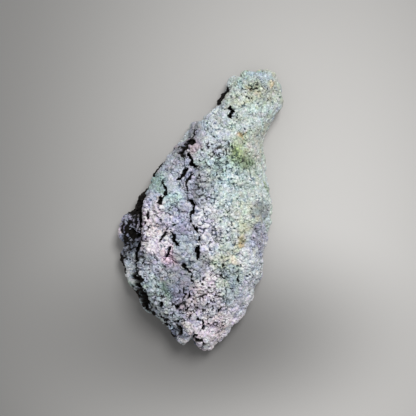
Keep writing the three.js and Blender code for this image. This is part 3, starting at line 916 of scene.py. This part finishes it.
@dataclass
class HostRock:
    """The host rock under the crust: one closed skin of rings, with a flat sawn underside."""

    form: SpecimenForm = SpecimenForm(wall_setback=3.0)
    around: int = 360
    under_rings: int = 8
    side_rings: int = 16
    face_rings: int = 30
    crest_gap: float = 0.3
    cover: float = 3.0  # how deep it lies under the crust
    setback: float = 1.5  # how far the base lies inside the crust's lower edge
    relief: float = 0.7  # share of the broken rock's height on the base
    swell: Grain = Grain(5.5, 62, 0.7)
    under_crust: Ramp = Ramp(3.0, 6.0)  # heights over which the base passes into the covered rock
    sawn_edge: Ramp = Ramp(0.0, 0.8)  # heights over which relief sets in above the flat underside
    mottle: Grain = Grain(1.6, 63, 0.5)
    mottle_mean: float = 0.85
    stain: Grain = Grain(5.0, 64, 0.5)
    stain_mean: float = 0.8
    blackened: Ramp = Ramp(1.0, 12.0)  # heights over which sawn brown turns black
    zip_strips: int = 3  # rows of the picture that the zips need above the skin's
    crest_strip: float = -0.3  # where the zips' strips start, in rows past the skin's
    keel_strip: float = 1.2
    places: Array = field(init=False)

    def __post_init__(self) -> None:
        """Works out the skin's grid of points."""
        side = np.linspace(math.pi / 2, 0.0, self.side_rings, endpoint=False)
        smooth, swell = self.form.rings(self.around, self.under_rings, side, self.face_rings, -self.crest_gap)
        height = smooth[..., 2]
        lobes = self.form.lobes(smooth, self.form.ground(smooth))
        covered = lobes - CrackWalls().read(smooth)[1] - self.cover
        rough = self.relief * broken_rock(smooth) + self.swell.at(smooth) - self.setback
        lift = blend(rough, covered, self.under_crust.of(height)) * self.sawn_edge.of(height)
        lift[:self.under_rings + 1] = 0.0
        self.places = smooth + swell * lift[..., None]

    def _zip(self, ring: Array, first: int) -> Array:
        """Triangles over the thin loop that a ring leaves round the crest.

        Args:
            ring: the ring's points.
            first: the number of its first vertex.

        Returns:
            Triangles between the loop's two sides, joined in the order of falling y from the loop's +Y end.
        """
        count = len(ring)
        top = int(ring[:, 1].argmax())
        steps_left = (int(ring[:, 1].argmin()) - top) % count
        left = (top + np.arange(1, steps_left + 1)) % count
        right = (top - np.arange(1, count - steps_left)) % count
        both = np.concatenate([left, right])
        from_left = np.arange(len(both)) < len(left)
        fall = np.concatenate([np.minimum.accumulate(ring[side, 1]) for side in (left, right)])
        order = np.argsort(-fall, kind="stable")
        both, from_left = both[order], from_left[order]
        last_left = np.concatenate([[top], left])[np.cumsum(from_left) - from_left]
        last_right = np.concatenate([[top], right])[np.cumsum(~from_left) - ~from_left]
        return np.stack([last_left, both, last_right], axis=1)[1:] + first

    def build(self) -> Piece:
        """Makes the mesh: bands between rings, and a zip at the crest and under it.

        Returns:
            The closed piece, near black above and brown where the underside was sawn.
        """
        rows, around = self.places.shape[:2]
        strips = rows + self.zip_strips
        flat = self.places.reshape(-1, 3)
        quads, row, column = grid_faces(rows, around, True)
        uv = [np.stack([column / around, (row + 0.5) / strips], axis=-1).reshape(-1, 2)]
        zips = []
        ends = ((-1, (rows - 1) * around, 1, rows + self.crest_strip), (0, 0, -1, rows + self.keel_strip))
        for ring, first, turn, base in ends:
            zips.append(self._zip(self.places[ring], first)[:, ::turn])
            plan = flat[zips[-1].ravel(), :2]
            share = (plan - plan.min(axis=0)) / np.ptp(plan, axis=0)
            uv.append(np.stack([share[:, 1], (base + share[:, 0]) / strips], axis=1))
        triangles = np.vstack(zips)
        faces = np.concatenate([np.full(len(quads), 4), np.full(len(triangles), 3)])
        loops = np.concatenate([quads.ravel(), triangles.ravel()])
        mottle = (self.mottle_mean + self.mottle.at(flat))[:, None]
        brown = rgb(Tint.SAWN) * (self.stain_mean + self.stain.at(flat))[:, None]
        tints = blend(brown, rgb(Tint.ROCK), self.blackened.of(flat[:, 2:3])) * mottle
        finishes = [HostRockFinish().material()]
        return make_piece("host_rock", flat, faces, loops, tints, np.vstack(uv), finishes)


class Sector(Enum):
    """Parts of the crust, in the order in which they follow each other round the specimen."""

    UPPER_LEFT = "crust_upper_left"
    LEDGE = "crust_of_the_ledge"
    FOOT = "crust_of_the_foot"
    LOWER_RIGHT = "crust_lower_right"
    UPPER_RIGHT = "crust_upper_right"
    KNOB = "crust_of_the_knob"


@dataclass(frozen=True)
class Pits:
    """Open pits of one size between the beads."""

    coarse: Grain
    fine: Grain
    rarity: float  # the noise that a pit needs where the map asks for none
    plenty: float  # how much less it needs for each unit of the map's pits
    wall: Ramp

    def share(self, places: Array, asked: Array) -> Array:
        """From 0 on the crust to 1 in a pit: where noise of two sizes passes what it needs there."""
        return self.wall.of(self.coarse.at(places) + self.fine.at(places) - self.rarity + self.plenty * asked)


@dataclass(frozen=True)
class BeadRelief:
    """Relief of the crust: beads of two sizes grown into each other, with pits and slots between them."""

    beads: Lobes = Lobes(1.35, 67)
    seeds: Lobes = Lobes(0.72, 68, 0.55)  # seed-sized beads on and between them
    bead_size: Ramp = Ramp(0.5, 1.1)  # the map's bead sizes from small to full ones
    small_height: float = 0.45  # share of their height that small and full beads show
    full_height: float = 0.80
    open_crust: Ramp = Ramp(0.2, 1.0)  # the map's pits from closed to open crust
    closed_height: float = 0.75
    sugar: Grain = Grain(0.42, 69, 0.14)
    bead_number: float = 0.6  # weight of the usual bead's number, the rest the seed's
    pits: tuple[Pits, ...] = (
        Pits(Grain(1.5, 71), Grain(0.75, 72, 0.7), 0.98, 0.30, Ramp(-0.10, 0.14)),
        Pits(Grain(0.95, 86), Grain(0.475, 87, 0.4), 0.92, 0.24, Ramp(-0.06, 0.10)),
    )
    winding: tuple[Grain, Grain] = (Grain(3.0, 73), Grain(1.2, 74, 0.4))
    breaks: Grain = Grain(2.4, 75)
    broken: Ramp = Ramp(0.05, 0.3)  # where that noise lets a slot open
    slot_width: tuple[float, float] = (0.02, 0.06)  # without pits on the map, and more for each unit of them
    slot_wall: Ramp = Ramp(-0.05, 0.03)

    def heights(self, places: Array, ground: Ground) -> tuple[Array, Array]:
        """Beads of two sizes.

        Args:
            places: points of the bed.
            ground: the map there.

        Returns:
            How far the beads stand out, and a number from 0 to 1 of the bead's own. The usual beads are lower
            where the map asks for small ones, and a fine sugar roughens both.
        """
        large, number = self.beads.read(places)
        small, other = self.seeds.read(places)
        share = blend(self.small_height, self.full_height, self.bead_size.of(ground.bead))
        height = share * self.beads.pitch * large + self.seeds.height * self.seeds.pitch * small
        height = height * blend(self.closed_height, 1.0, self.open_crust.of(ground.pits))
        return height + self.sugar.at(places), blend(other, number, self.bead_number)

    def hollows(self, places: Array, ground: Ground) -> Array:
        """Open pits of two sizes and short winding slots between the beads.

        Args:
            places: points of the bed.
            ground: the map there.

        Returns:
            From 0 on the crust to 1 in a pit; a slot is where slow noise is near zero, with breaks.
        """
        winding = np.abs(sum(grain.at(places) for grain in self.winding))
        width = self.slot_width[0] + self.slot_width[1] * ground.pits
        slot = self.slot_wall.of(width * self.broken.of(self.breaks.at(places)) - winding)
        return np.max([slot, *(pits.share(places, ground.pits) for pits in self.pits)], axis=0)


@dataclass(frozen=True)
class CrustColours:
    """How the map's colours vary over the beads, with painted shade between them, and the colours of pits and
    bare rock.
    """

    tips: Ramp = Ramp(0.25, 1.25)  # heights of the beads from valleys to tips
    open_crust: Ramp = Ramp(0.3, 1.4)  # the map's pits from pale to dark pits
    clouds: tuple[Grain, ...] = (Grain(3.0, 76, 0.12), Grain(7.0, 77, 0.10), Grain(0.48, 85, 0.44))
    bead_spread: tuple[float, float] = (0.24, 0.36) # light and dark beads, in closed and in open crust
    fine: Grain = Grain(0.8, 78)
    fine_amounts: tuple[float, ...] = (0.06, 0.05, 0.09)  # by red, green and blue, as all such rows
    slow: Grain = Grain(2.1, 82)
    slow_amounts: tuple[float, ...] = (0.08, 0.05, 0.12)
    # painted shade: how dark the bed between the beads is drawn, in closed and in open crust
    closed_valley_shade: tuple[float, ...] = (0.84, 0.87, 0.90)
    open_valley_shade: tuple[float, ...] = (0.60, 0.63, 0.68)
    # painted light: the beads' tips are drawn a little paler
    painted_tip_light: float = 1.03
    pit_tint: float = 0.5  # share of the map's colour in the painted shade of pale pits
    dark_pit_shade: float = 1.6  # painted shade of dark pits, partly the rock showing through, as a multiple of the rock's colour
    dust_fine: Grain = Grain(0.7, 81)
    dust_slow: Grain = Grain(2.6, 64, 0.8)
    dusty: Ramp = Ramp(-0.4, 1.1)
    level: Ramp = Ramp(0.3, 0.8)  # how far up level rock looks
    level_dust_lost: float = 0.8
    limits: tuple[float, float] = (0.002, 0.80)

    def read(self, places: Array, ground: Ground, beads: Array, number: Array, hollow: Array, rock: Array,
             up: Array) -> Array:
        """Colour at each point.

        Args:
            places: points of the bed.
            ground: the map there.
            beads: how far the beads stand out.
            number: each bead's own number.
            hollow: share of an open pit.
            rock: share of bare rock.
            up: how much the bed looks up, from 0 to 1.

        Returns:
            The map's colour, paler on the beads' tips and greyer between them as painted light and shade,
            lighter or darker bead by bead and in slow clouds; painted shade of slate in shallow pits and near
            black in those of open crust, partly the rock showing through; near black on bare rock, which
            gathers pale dust where it is steep.
        """
        dark = self.open_crust.of(ground.pits)[..., None]
        cloud = sum(grain.at(places) for grain in self.clouds)[..., None]
        cloud = cloud + blend(*self.bead_spread, dark) * (number - 0.5)[..., None]
        fine = self.fine.push(places) * np.array(self.fine_amounts)
        tint = ground.tint * np.exp(cloud + fine + self.slow.push(places) * np.array(self.slow_amounts))
        # painted shade between the beads and painted light on their tips
        painted_valley_shade = tint * blend(np.array(self.closed_valley_shade), np.array(self.open_valley_shade), dark)
        colour = blend(painted_valley_shade, self.painted_tip_light * tint, self.tips.of(beads)[..., None])
        # painted shade in the pits: slate in pale ones, and near black in open crust, partly the rock itself
        slate, black = rgb(Tint.HOLLOW_SHADE), rgb(Tint.ROCK)
        pale_pit_shade = blend(slate, tint * slate / slate.max(), self.pit_tint)
        colour = blend(colour, blend(pale_pit_shade, self.dark_pit_shade * black, dark), hollow[..., None])
        dust = self.dusty.of(self.dust_fine.at(places) + self.dust_slow.at(places))
        dust = dust * (1.0 - self.level_dust_lost * self.level.of(up))
        crumb = blend(black, rgb(Tint.DUST), dust[..., None])
        return np.clip(blend(colour, crumb, rock[..., None]), *self.limits)


@dataclass
class BeadCrust:
    """The crust of chalcedony beads grown into each other, as fine rings over the side and the face."""

    form: SpecimenForm = SpecimenForm()
    around: int = 1962
    side_rings: int = 28
    face_rings: int = 211
    skirt_angle: float = 62.0  # the lowest ring's angle below the widest line
    past_crest: float = 0.15  # the two sides overlap at the crest by twice this
    room: float = 0.95  # the beads' tips stand this far over their bed
    pit_depth: float = 1.5
    crack_wall: Ramp = Ramp(-0.24, 0.04)  # rock shows inside this part of a crack's wall
    rock_share: float = 0.5  # from this share of bare rock on, a face has the rock's finish
    rock_sink: float = 0.6  # how far bare rock lies under the bed
    rock_relief: float = 0.7  # share of the broken rock's height that it has
    hem: Ramp = Ramp(2.6, 1.0)  # heights over which the crust's lower edge tucks in
    hem_tuck: float = 2.5
    lowest: float = 0.4
    closing: float = 4.0  # how far a sector's walls go straight in
    fan_height: float = 5.0  # height of the point that closes a sector inside
    skin_top: float = 0.97  # the picture's height that the skin fills
    wall_strip: tuple[float, float] = (0.973, 0.983)
    fan_strip: tuple[float, float] = (0.986, 0.999)
    places: Array = field(init=False)
    inner: Array = field(init=False)
    crest_places: Array = field(init=False)
    tints: Array = field(init=False)
    rock: Array = field(init=False)

    def __post_init__(self) -> None:
        """Works out points and colours; cracks go straight in, relief goes along the normals."""
        form, relief = self.form, BeadRelief()
        side = np.linspace(math.radians(self.skirt_angle), 0.0, self.side_rings, endpoint=False)
        smooth, swell = form.rings(self.around, 0, side, self.face_rings, self.past_crest)
        ground = form.ground(smooth)
        bare = BareRock().share(smooth, form, ground)
        inside, depth = CrackWalls().read(smooth)
        stem = smooth + swell * (form.lobes(smooth, ground) - self.room)[..., None]
        normal = grid_normals(stem)
        beads, number = relief.heights(stem, ground)
        hollow = relief.hollows(stem, ground)
        crumb = np.full(bare.shape, -self.rock_sink)
        crumb[bare > 0.0] += self.rock_relief * broken_rock(stem[bare > 0.0])
        lift = blend(beads - self.pit_depth * hollow, crumb, bare)
        dive = depth + self.hem_tuck * self.hem.of(smooth[..., 2])
        self.places = stem + normal * lift[..., None] - swell * dive[..., None]
        self.places[..., 2] = np.maximum(self.places[..., 2], self.lowest)
        self.inner = self.places - self.closing * swell
        self.crest_places = smooth[-1]
        self.rock = np.maximum(bare, self.crack_wall.of(inside))
        self.tints = CrustColours().read(stem, ground, beads, number, hollow, self.rock, normal[..., 2])

    def _closed(self, start: int, stop: int) -> tuple[Array, ...]:
        """A closed piece of the crust: its skin between two spokes, walls in from its edge and a fan inside.

        Args:
            start: the first spoke.
            stop: the last one, shared with the next sector.

        Returns:
            Vertices, corner counts, corners, colours, picture places and finish numbers. The skin fills the
            picture but for two strips, which hold the walls and the fan.
        """
        spokes = np.arange(start, stop + 1) % self.around
        rows, columns = self.places.shape[0], len(spokes)
        quads, row, column = grid_faces(rows, columns, False)
        number = np.arange(rows * columns).reshape(rows, columns)
        edge = np.concatenate([number[0, :-1], number[:-1, -1], number[-1, :0:-1], number[:0:-1, 0]])
        count = len(edge)
        inner = rows * columns + np.arange(count)
        walls = np.stack([np.roll(edge, -1), edge, inner, np.roll(inner, -1)], axis=1)
        fan = np.stack([np.roll(inner, -1), inner, np.full_like(inner, rows * columns + count)], axis=1)
        step = np.arange(count)[:, None]
        (wall_low, wall_top), (fan_low, fan_top) = self.wall_strip, self.fan_strip
        uv = [(column / (columns - 1), self.skin_top * row / (rows - 1)),
              ((step + np.array([1.0, 0.0, 0.0, 1.0])) / count, [wall_low, wall_low, wall_top, wall_top]),
              ((step + np.array([1.0, 0.0, 0.5])) / count, [fan_low, fan_low, fan_top])]
        uv = np.vstack([np.stack(np.broadcast_arrays(*pair), axis=-1).reshape(-1, 2) for pair in uv])
        middle = self.crest_places[spokes].mean(0)
        middle[2] = self.fan_height
        skin = self.places[:, spokes].reshape(-1, 3)
        places = np.vstack([skin, self.inner[:, spokes].reshape(-1, 3)[edge], middle])
        hidden = np.broadcast_to(rgb(Tint.ROCK), (count + 1, 3))
        tints = np.vstack([self.tints[:, spokes].reshape(-1, 3), hidden])
        faces = np.concatenate([np.full(len(quads) + count, 4), np.full(count, 3)])
        loops = np.concatenate([quads.ravel(), walls.ravel(), fan.ravel()])
        bare = self.rock[:, spokes].ravel()[quads].mean(1) > self.rock_share
        return places, faces, loops, tints, uv, np.concatenate([bare, np.ones(2 * count, dtype=bool)])

    def build(self) -> list[Piece]:
        """Makes a closed piece for each sector, in chalcedony and, where it is bare, in rock."""
        finishes = [ChalcedonyFinish().material(), HostRockFinish().material()]
        pieces = []
        step = self.around // len(Sector)
        for index, sector in enumerate(Sector):
            *arrays, bare = self._closed(index * step, (index + 1) * step)
            pieces.append(make_piece(sector.value, *arrays, finishes, bare))
        return pieces


# ---- Finishes ----

def add_node(tree: Tree, kind: str, settings: dict | None = None,
             links: dict | None = None) -> bpy.types.Node:
    """Adds a node to a tree.

    Args:
        tree: the node tree.
        kind: the node's type name.
        settings: values by input name or number, or by the node's own property name.
        links: output sockets by input name or number.

    Returns:
        The new node.
    """
    node = tree.nodes.new(kind)
    for name, value in (settings or {}).items():
        if isinstance(name, int) or name in node.inputs:
            node.inputs[name].default_value = value
        else:
            setattr(node, name, value)
    for name, socket in (links or {}).items():
        tree.links.new(socket, node.inputs[name])
    return node


def new_material(name: str) -> tuple[Material, Tree, Socket]:
    """An empty node material, its tree and the socket of the place on the object."""
    material = bpy.data.materials.new(name)
    material.use_nodes = True
    tree = material.node_tree
    tree.nodes.clear()
    return material, tree, add_node(tree, "ShaderNodeTexCoord").outputs["Object"]


def grains(tree: Tree, place: Socket, width_mm: float, detail: float) -> Socket:
    """Noise with grains of a given width."""
    return add_node(tree, "ShaderNodeTexNoise", {"Scale": 1 / (width_mm * MM), "Detail": detail},
                    {"Vector": place}).outputs["Fac"]


def spread(tree: Tree, value: Socket, start: tuple[float, float], end: tuple[float, float]) -> Socket:
    """Maps a value from one range to another."""
    return add_node(tree, "ShaderNodeMapRange", {"From Min": start[0], "From Max": start[1],
                    "To Min": end[0], "To Max": end[1]}, {"Value": value}).outputs["Result"]


def scaled(tree: Tree, colour: Socket, light: Socket) -> Socket:
    """A colour times a lightness."""
    return add_node(tree, "ShaderNodeVectorMath", {"operation": "SCALE"},
                    {"Vector": colour, "Scale": light}).outputs["Vector"]


MIDDLE = (0.3, 0.7)  # the part of a noise's range that most of it lies in


def bed_colour(tree: Tree, mottle: Socket, light: tuple[float, float]) -> Socket:
    """The bed's own colours, mottled by a noise."""
    tint = add_node(tree, "ShaderNodeAttribute", {"attribute_name": TINT_NAME}).outputs["Color"]
    return scaled(tree, tint, spread(tree, mottle, MIDDLE, light))


def bump(tree: Tree, height: Socket, strength: float, depth_mm: float) -> Socket:
    """A bump of a given strength and depth."""
    return add_node(tree, "ShaderNodeBump", {"Strength": strength, "Distance": depth_mm * MM},
                    {"Height": height}).outputs["Normal"]


def add_surface(tree: Tree, settings: dict, links: dict) -> None:
    """Ends a material with its shader."""
    shader = add_node(tree, "ShaderNodeBsdfPrincipled", settings, links).outputs["BSDF"]
    add_node(tree, "ShaderNodeOutputMaterial", None, {"Surface": shader})


@dataclass(frozen=True)
class ChalcedonyFinish:
    """Botryoidal chalcedony with a druse of quartz: grains too fine to see, which glitter on soft colours."""

    ior: float = 1.54
    roughness: tuple[float, float] = (0.36, 0.64)
    druse_mm: float = 0.45  # width of a crystal face of the druse; real ones are 0.1 mm, too fine to show
    sugar_mm: float = 0.22  # fine unevenness within a face
    sugar_detail: float = 2.0
    light: tuple[float, float] = (0.82, 1.14)
    bump_strength: float = 0.5
    bump_mm: float = 0.15
    coat: float = 0.15
    coat_roughness: float = 0.2

    def material(self) -> Material:
        """The material: the beads' own colours, mottled, with a bump of crystal faces."""
        material, tree, place = new_material("druzy_chalcedony")
        sugar = grains(tree, place, self.sugar_mm, self.sugar_detail)
        druse = add_node(tree, "ShaderNodeTexVoronoi", {"Scale": 1 / (self.druse_mm * MM)}, {"Vector": place})
        druse = druse.outputs["Distance"]
        height = add_node(tree, "ShaderNodeMath", {"operation": "ADD"}, {0: druse, 1: sugar})
        shine = {"IOR": self.ior, "Coat Weight": self.coat, "Coat Roughness": self.coat_roughness}
        add_surface(tree, shine, {
            "Base Color": bed_colour(tree, sugar, self.light),
            "Roughness": spread(tree, sugar, (0.0, 1.0), self.roughness),
            "Normal": bump(tree, height.outputs["Value"], self.bump_strength, self.bump_mm)})
        return material


@dataclass(frozen=True)
class HostRockFinish:
    """Altered volcanic host rock, broken and dusty: nearly black, matt and crumbly."""

    ior: float = 1.5
    roughness: float = 0.85
    gloss: float = 0.12
    crumb_mm: float = 0.8
    crumb_detail: float = 5.0
    grit_mm: float = 0.25
    grit_detail: float = 1.0
    light: tuple[float, float] = (0.6, 1.4)
    bump_strength: float = 0.8
    bump_mm: float = 0.5

    def material(self) -> Material:
        """The material: the bed's own colours, mottled, with a crumbly bump."""
        material, tree, place = new_material("altered_host_rock")
        crumb = grains(tree, place, self.crumb_mm, self.crumb_detail)
        grit = grains(tree, place, self.grit_mm, self.grit_detail)
        shine = {"IOR": self.ior, "Roughness": self.roughness, "Specular IOR Level": self.gloss}
        add_surface(tree, shine, {
            "Base Color": bed_colour(tree, grit, self.light),
            "Normal": bump(tree, crumb, self.bump_strength, self.bump_mm)})
        return material


@dataclass(frozen=True)
class Oval:
    """A soft oval on the backdrop: its middle and half widths in metres."""

    x: float
    y: float
    across: float
    along: float

    def share(self, tree: Tree, place: Socket) -> Socket:
        """Adds nodes for 3t² - 2t³ of t = 1 - distance in half widths.

        Args:
            tree: the node tree.
            place: the socket that gives the place.

        Returns:
            The socket of the share, 1 in the middle and 0 at the rim.
        """
        steps = (("SUBTRACT", (self.x, self.y, 0.0)), ("MULTIPLY", (1 / self.across, 1 / self.along, 0.0)))
        for operation, by in steps:
            place = add_node(tree, "ShaderNodeVectorMath", {"operation": operation, 1: by},
                             {"Vector": place}).outputs["Vector"]
        far = add_node(tree, "ShaderNodeVectorMath", {"operation": "LENGTH"}, {"Vector": place})
        fade = {"interpolation_type": "SMOOTHSTEP", "From Min": 1.0, "From Max": 0.0}
        return add_node(tree, "ShaderNodeMapRange", fade, {"Value": far.outputs["Value"]}).outputs["Result"]


@dataclass(frozen=True)
class BackdropWithPaintedLight:
    """Matt backdrop with painted light and shade: a pale patch of painted light on mid grey, with a painted
    shadow band below the specimen.
    """

    pale: str = "#c8c6c3"
    deep: str = "#7c7b79"
    # painted light: the pale patch where lamp light would fall
    painted_light_pool: Oval = Oval(0.058, -0.034, 0.212, 0.325)
    # painted shadow: the darker band below the specimen
    band: Oval = Oval(0.009, -0.069, 0.135, 0.072)
    painted_shadow_depth: float = 0.66
    roughness: float = 0.9

    def material(self) -> Material:
        """The material: deep to pale by the painted light, less the painted shadow band."""
        material, tree, place = new_material("backdrop_with_painted_light_and_shadow")
        colours = {"data_type": "RGBA", 6: linear(self.deep), 7: linear(self.pale)}
        mix = add_node(tree, "ShaderNodeMix", colours, {"Factor": self.painted_light_pool.share(tree, place)})
        light = spread(tree, self.band.share(tree, place), (0.0, 1.0), (1.0, 1.0 - self.painted_shadow_depth))
        add_surface(tree, {"Roughness": self.roughness}, {"Base Color": scaled(tree, mix.outputs[2], light)})
        return material


# ---- Studio ----

@dataclass
class Studio:
    """Backdrop, lights and camera."""

    floor_half: float = 3.0  # metres
    floor_drop: float = 0.05  # millimetres under the specimen
    lens: float = 85.0  # millimetres
    sensor: float = 36.0
    frame_mm: float = 223.0  # width of the picture at the widest line's height
    aim: tuple[float, float] = (4.3, 0.0)
    rim_height: float = 9.0
    key_watts: float = 9.55
    key_size: float = 0.45
    key_place: tuple[float, float, float] = (0.26, 0.52, 1.0)
    fill: str = "#f4f5f7"
    fill_strength: float = 0.58

    def build(self) -> None:
        """Puts up the floor, the lights and the camera."""
        self._floor()
        self._lights()
        self._camera()

    def _put(self, name: str, data: bpy.types.ID) -> Piece:
        """A new object of the scene."""
        thing = bpy.data.objects.new(name, data)
        bpy.context.scene.collection.objects.link(thing)
        return thing

    def _floor(self) -> None:
        """A large flat sheet just under the specimen."""
        half, low = self.floor_half, -self.floor_drop * MM
        mesh = bpy.data.meshes.new("backdrop")
        mesh.from_pydata([(-half, -half, low), (half, -half, low), (half, half, low), (-half, half, low)], [],
                         [(0, 1, 2, 3)])
        mesh.materials.append(BackdropWithPaintedLight().material())
        self._put("backdrop", mesh)

    def _lights(self) -> None:
        """A large soft lamp from above and beyond the knob, and an even grey surround."""
        lamp = bpy.data.lights.new("key", "AREA")
        lamp.shape = "DISK"
        lamp.size = self.key_size
        lamp.energy = self.key_watts
        key = self._put("key", lamp)
        key.location = self.key_place
        key.rotation_euler = (-Vector(self.key_place)).to_track_quat("-Z", "Y").to_euler()
        world = bpy.data.worlds.new("surround")
        world.use_nodes = True
        surround = world.node_tree.nodes["Background"].inputs
        surround["Color"].default_value = linear(self.fill)
        surround["Strength"].default_value = self.fill_strength
        bpy.context.scene.world = world

    def _camera(self) -> None:
        """A camera straight above: at distance width × lens / sensor from the widest line's height."""
        lens = bpy.data.cameras.new("camera")
        lens.lens = self.lens
        lens.sensor_width = self.sensor
        camera = self._put("camera", lens)
        distance = self.frame_mm * self.lens / self.sensor
        camera.location = tuple(to_frame(np.array([*self.aim, self.rim_height + distance])))
        bpy.context.scene.camera = camera


def main() -> None:
    """Builds the specimen and its studio, and reports each piece."""
    logging.basicConfig(level=logging.INFO, format="%(name)s: %(message)s")
    bpy.context.scene.view_settings.view_transform = "Standard"
    rock = HostRock().build()
    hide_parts(NODE)
    pieces = [rock, *BeadCrust().build()]
    for piece in pieces:
        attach(piece, BODY)
        LOG.info("%s: %d faces", piece.name, len(piece.data.polygons))
    Studio().build()


if __name__ == "__main__":
    main()
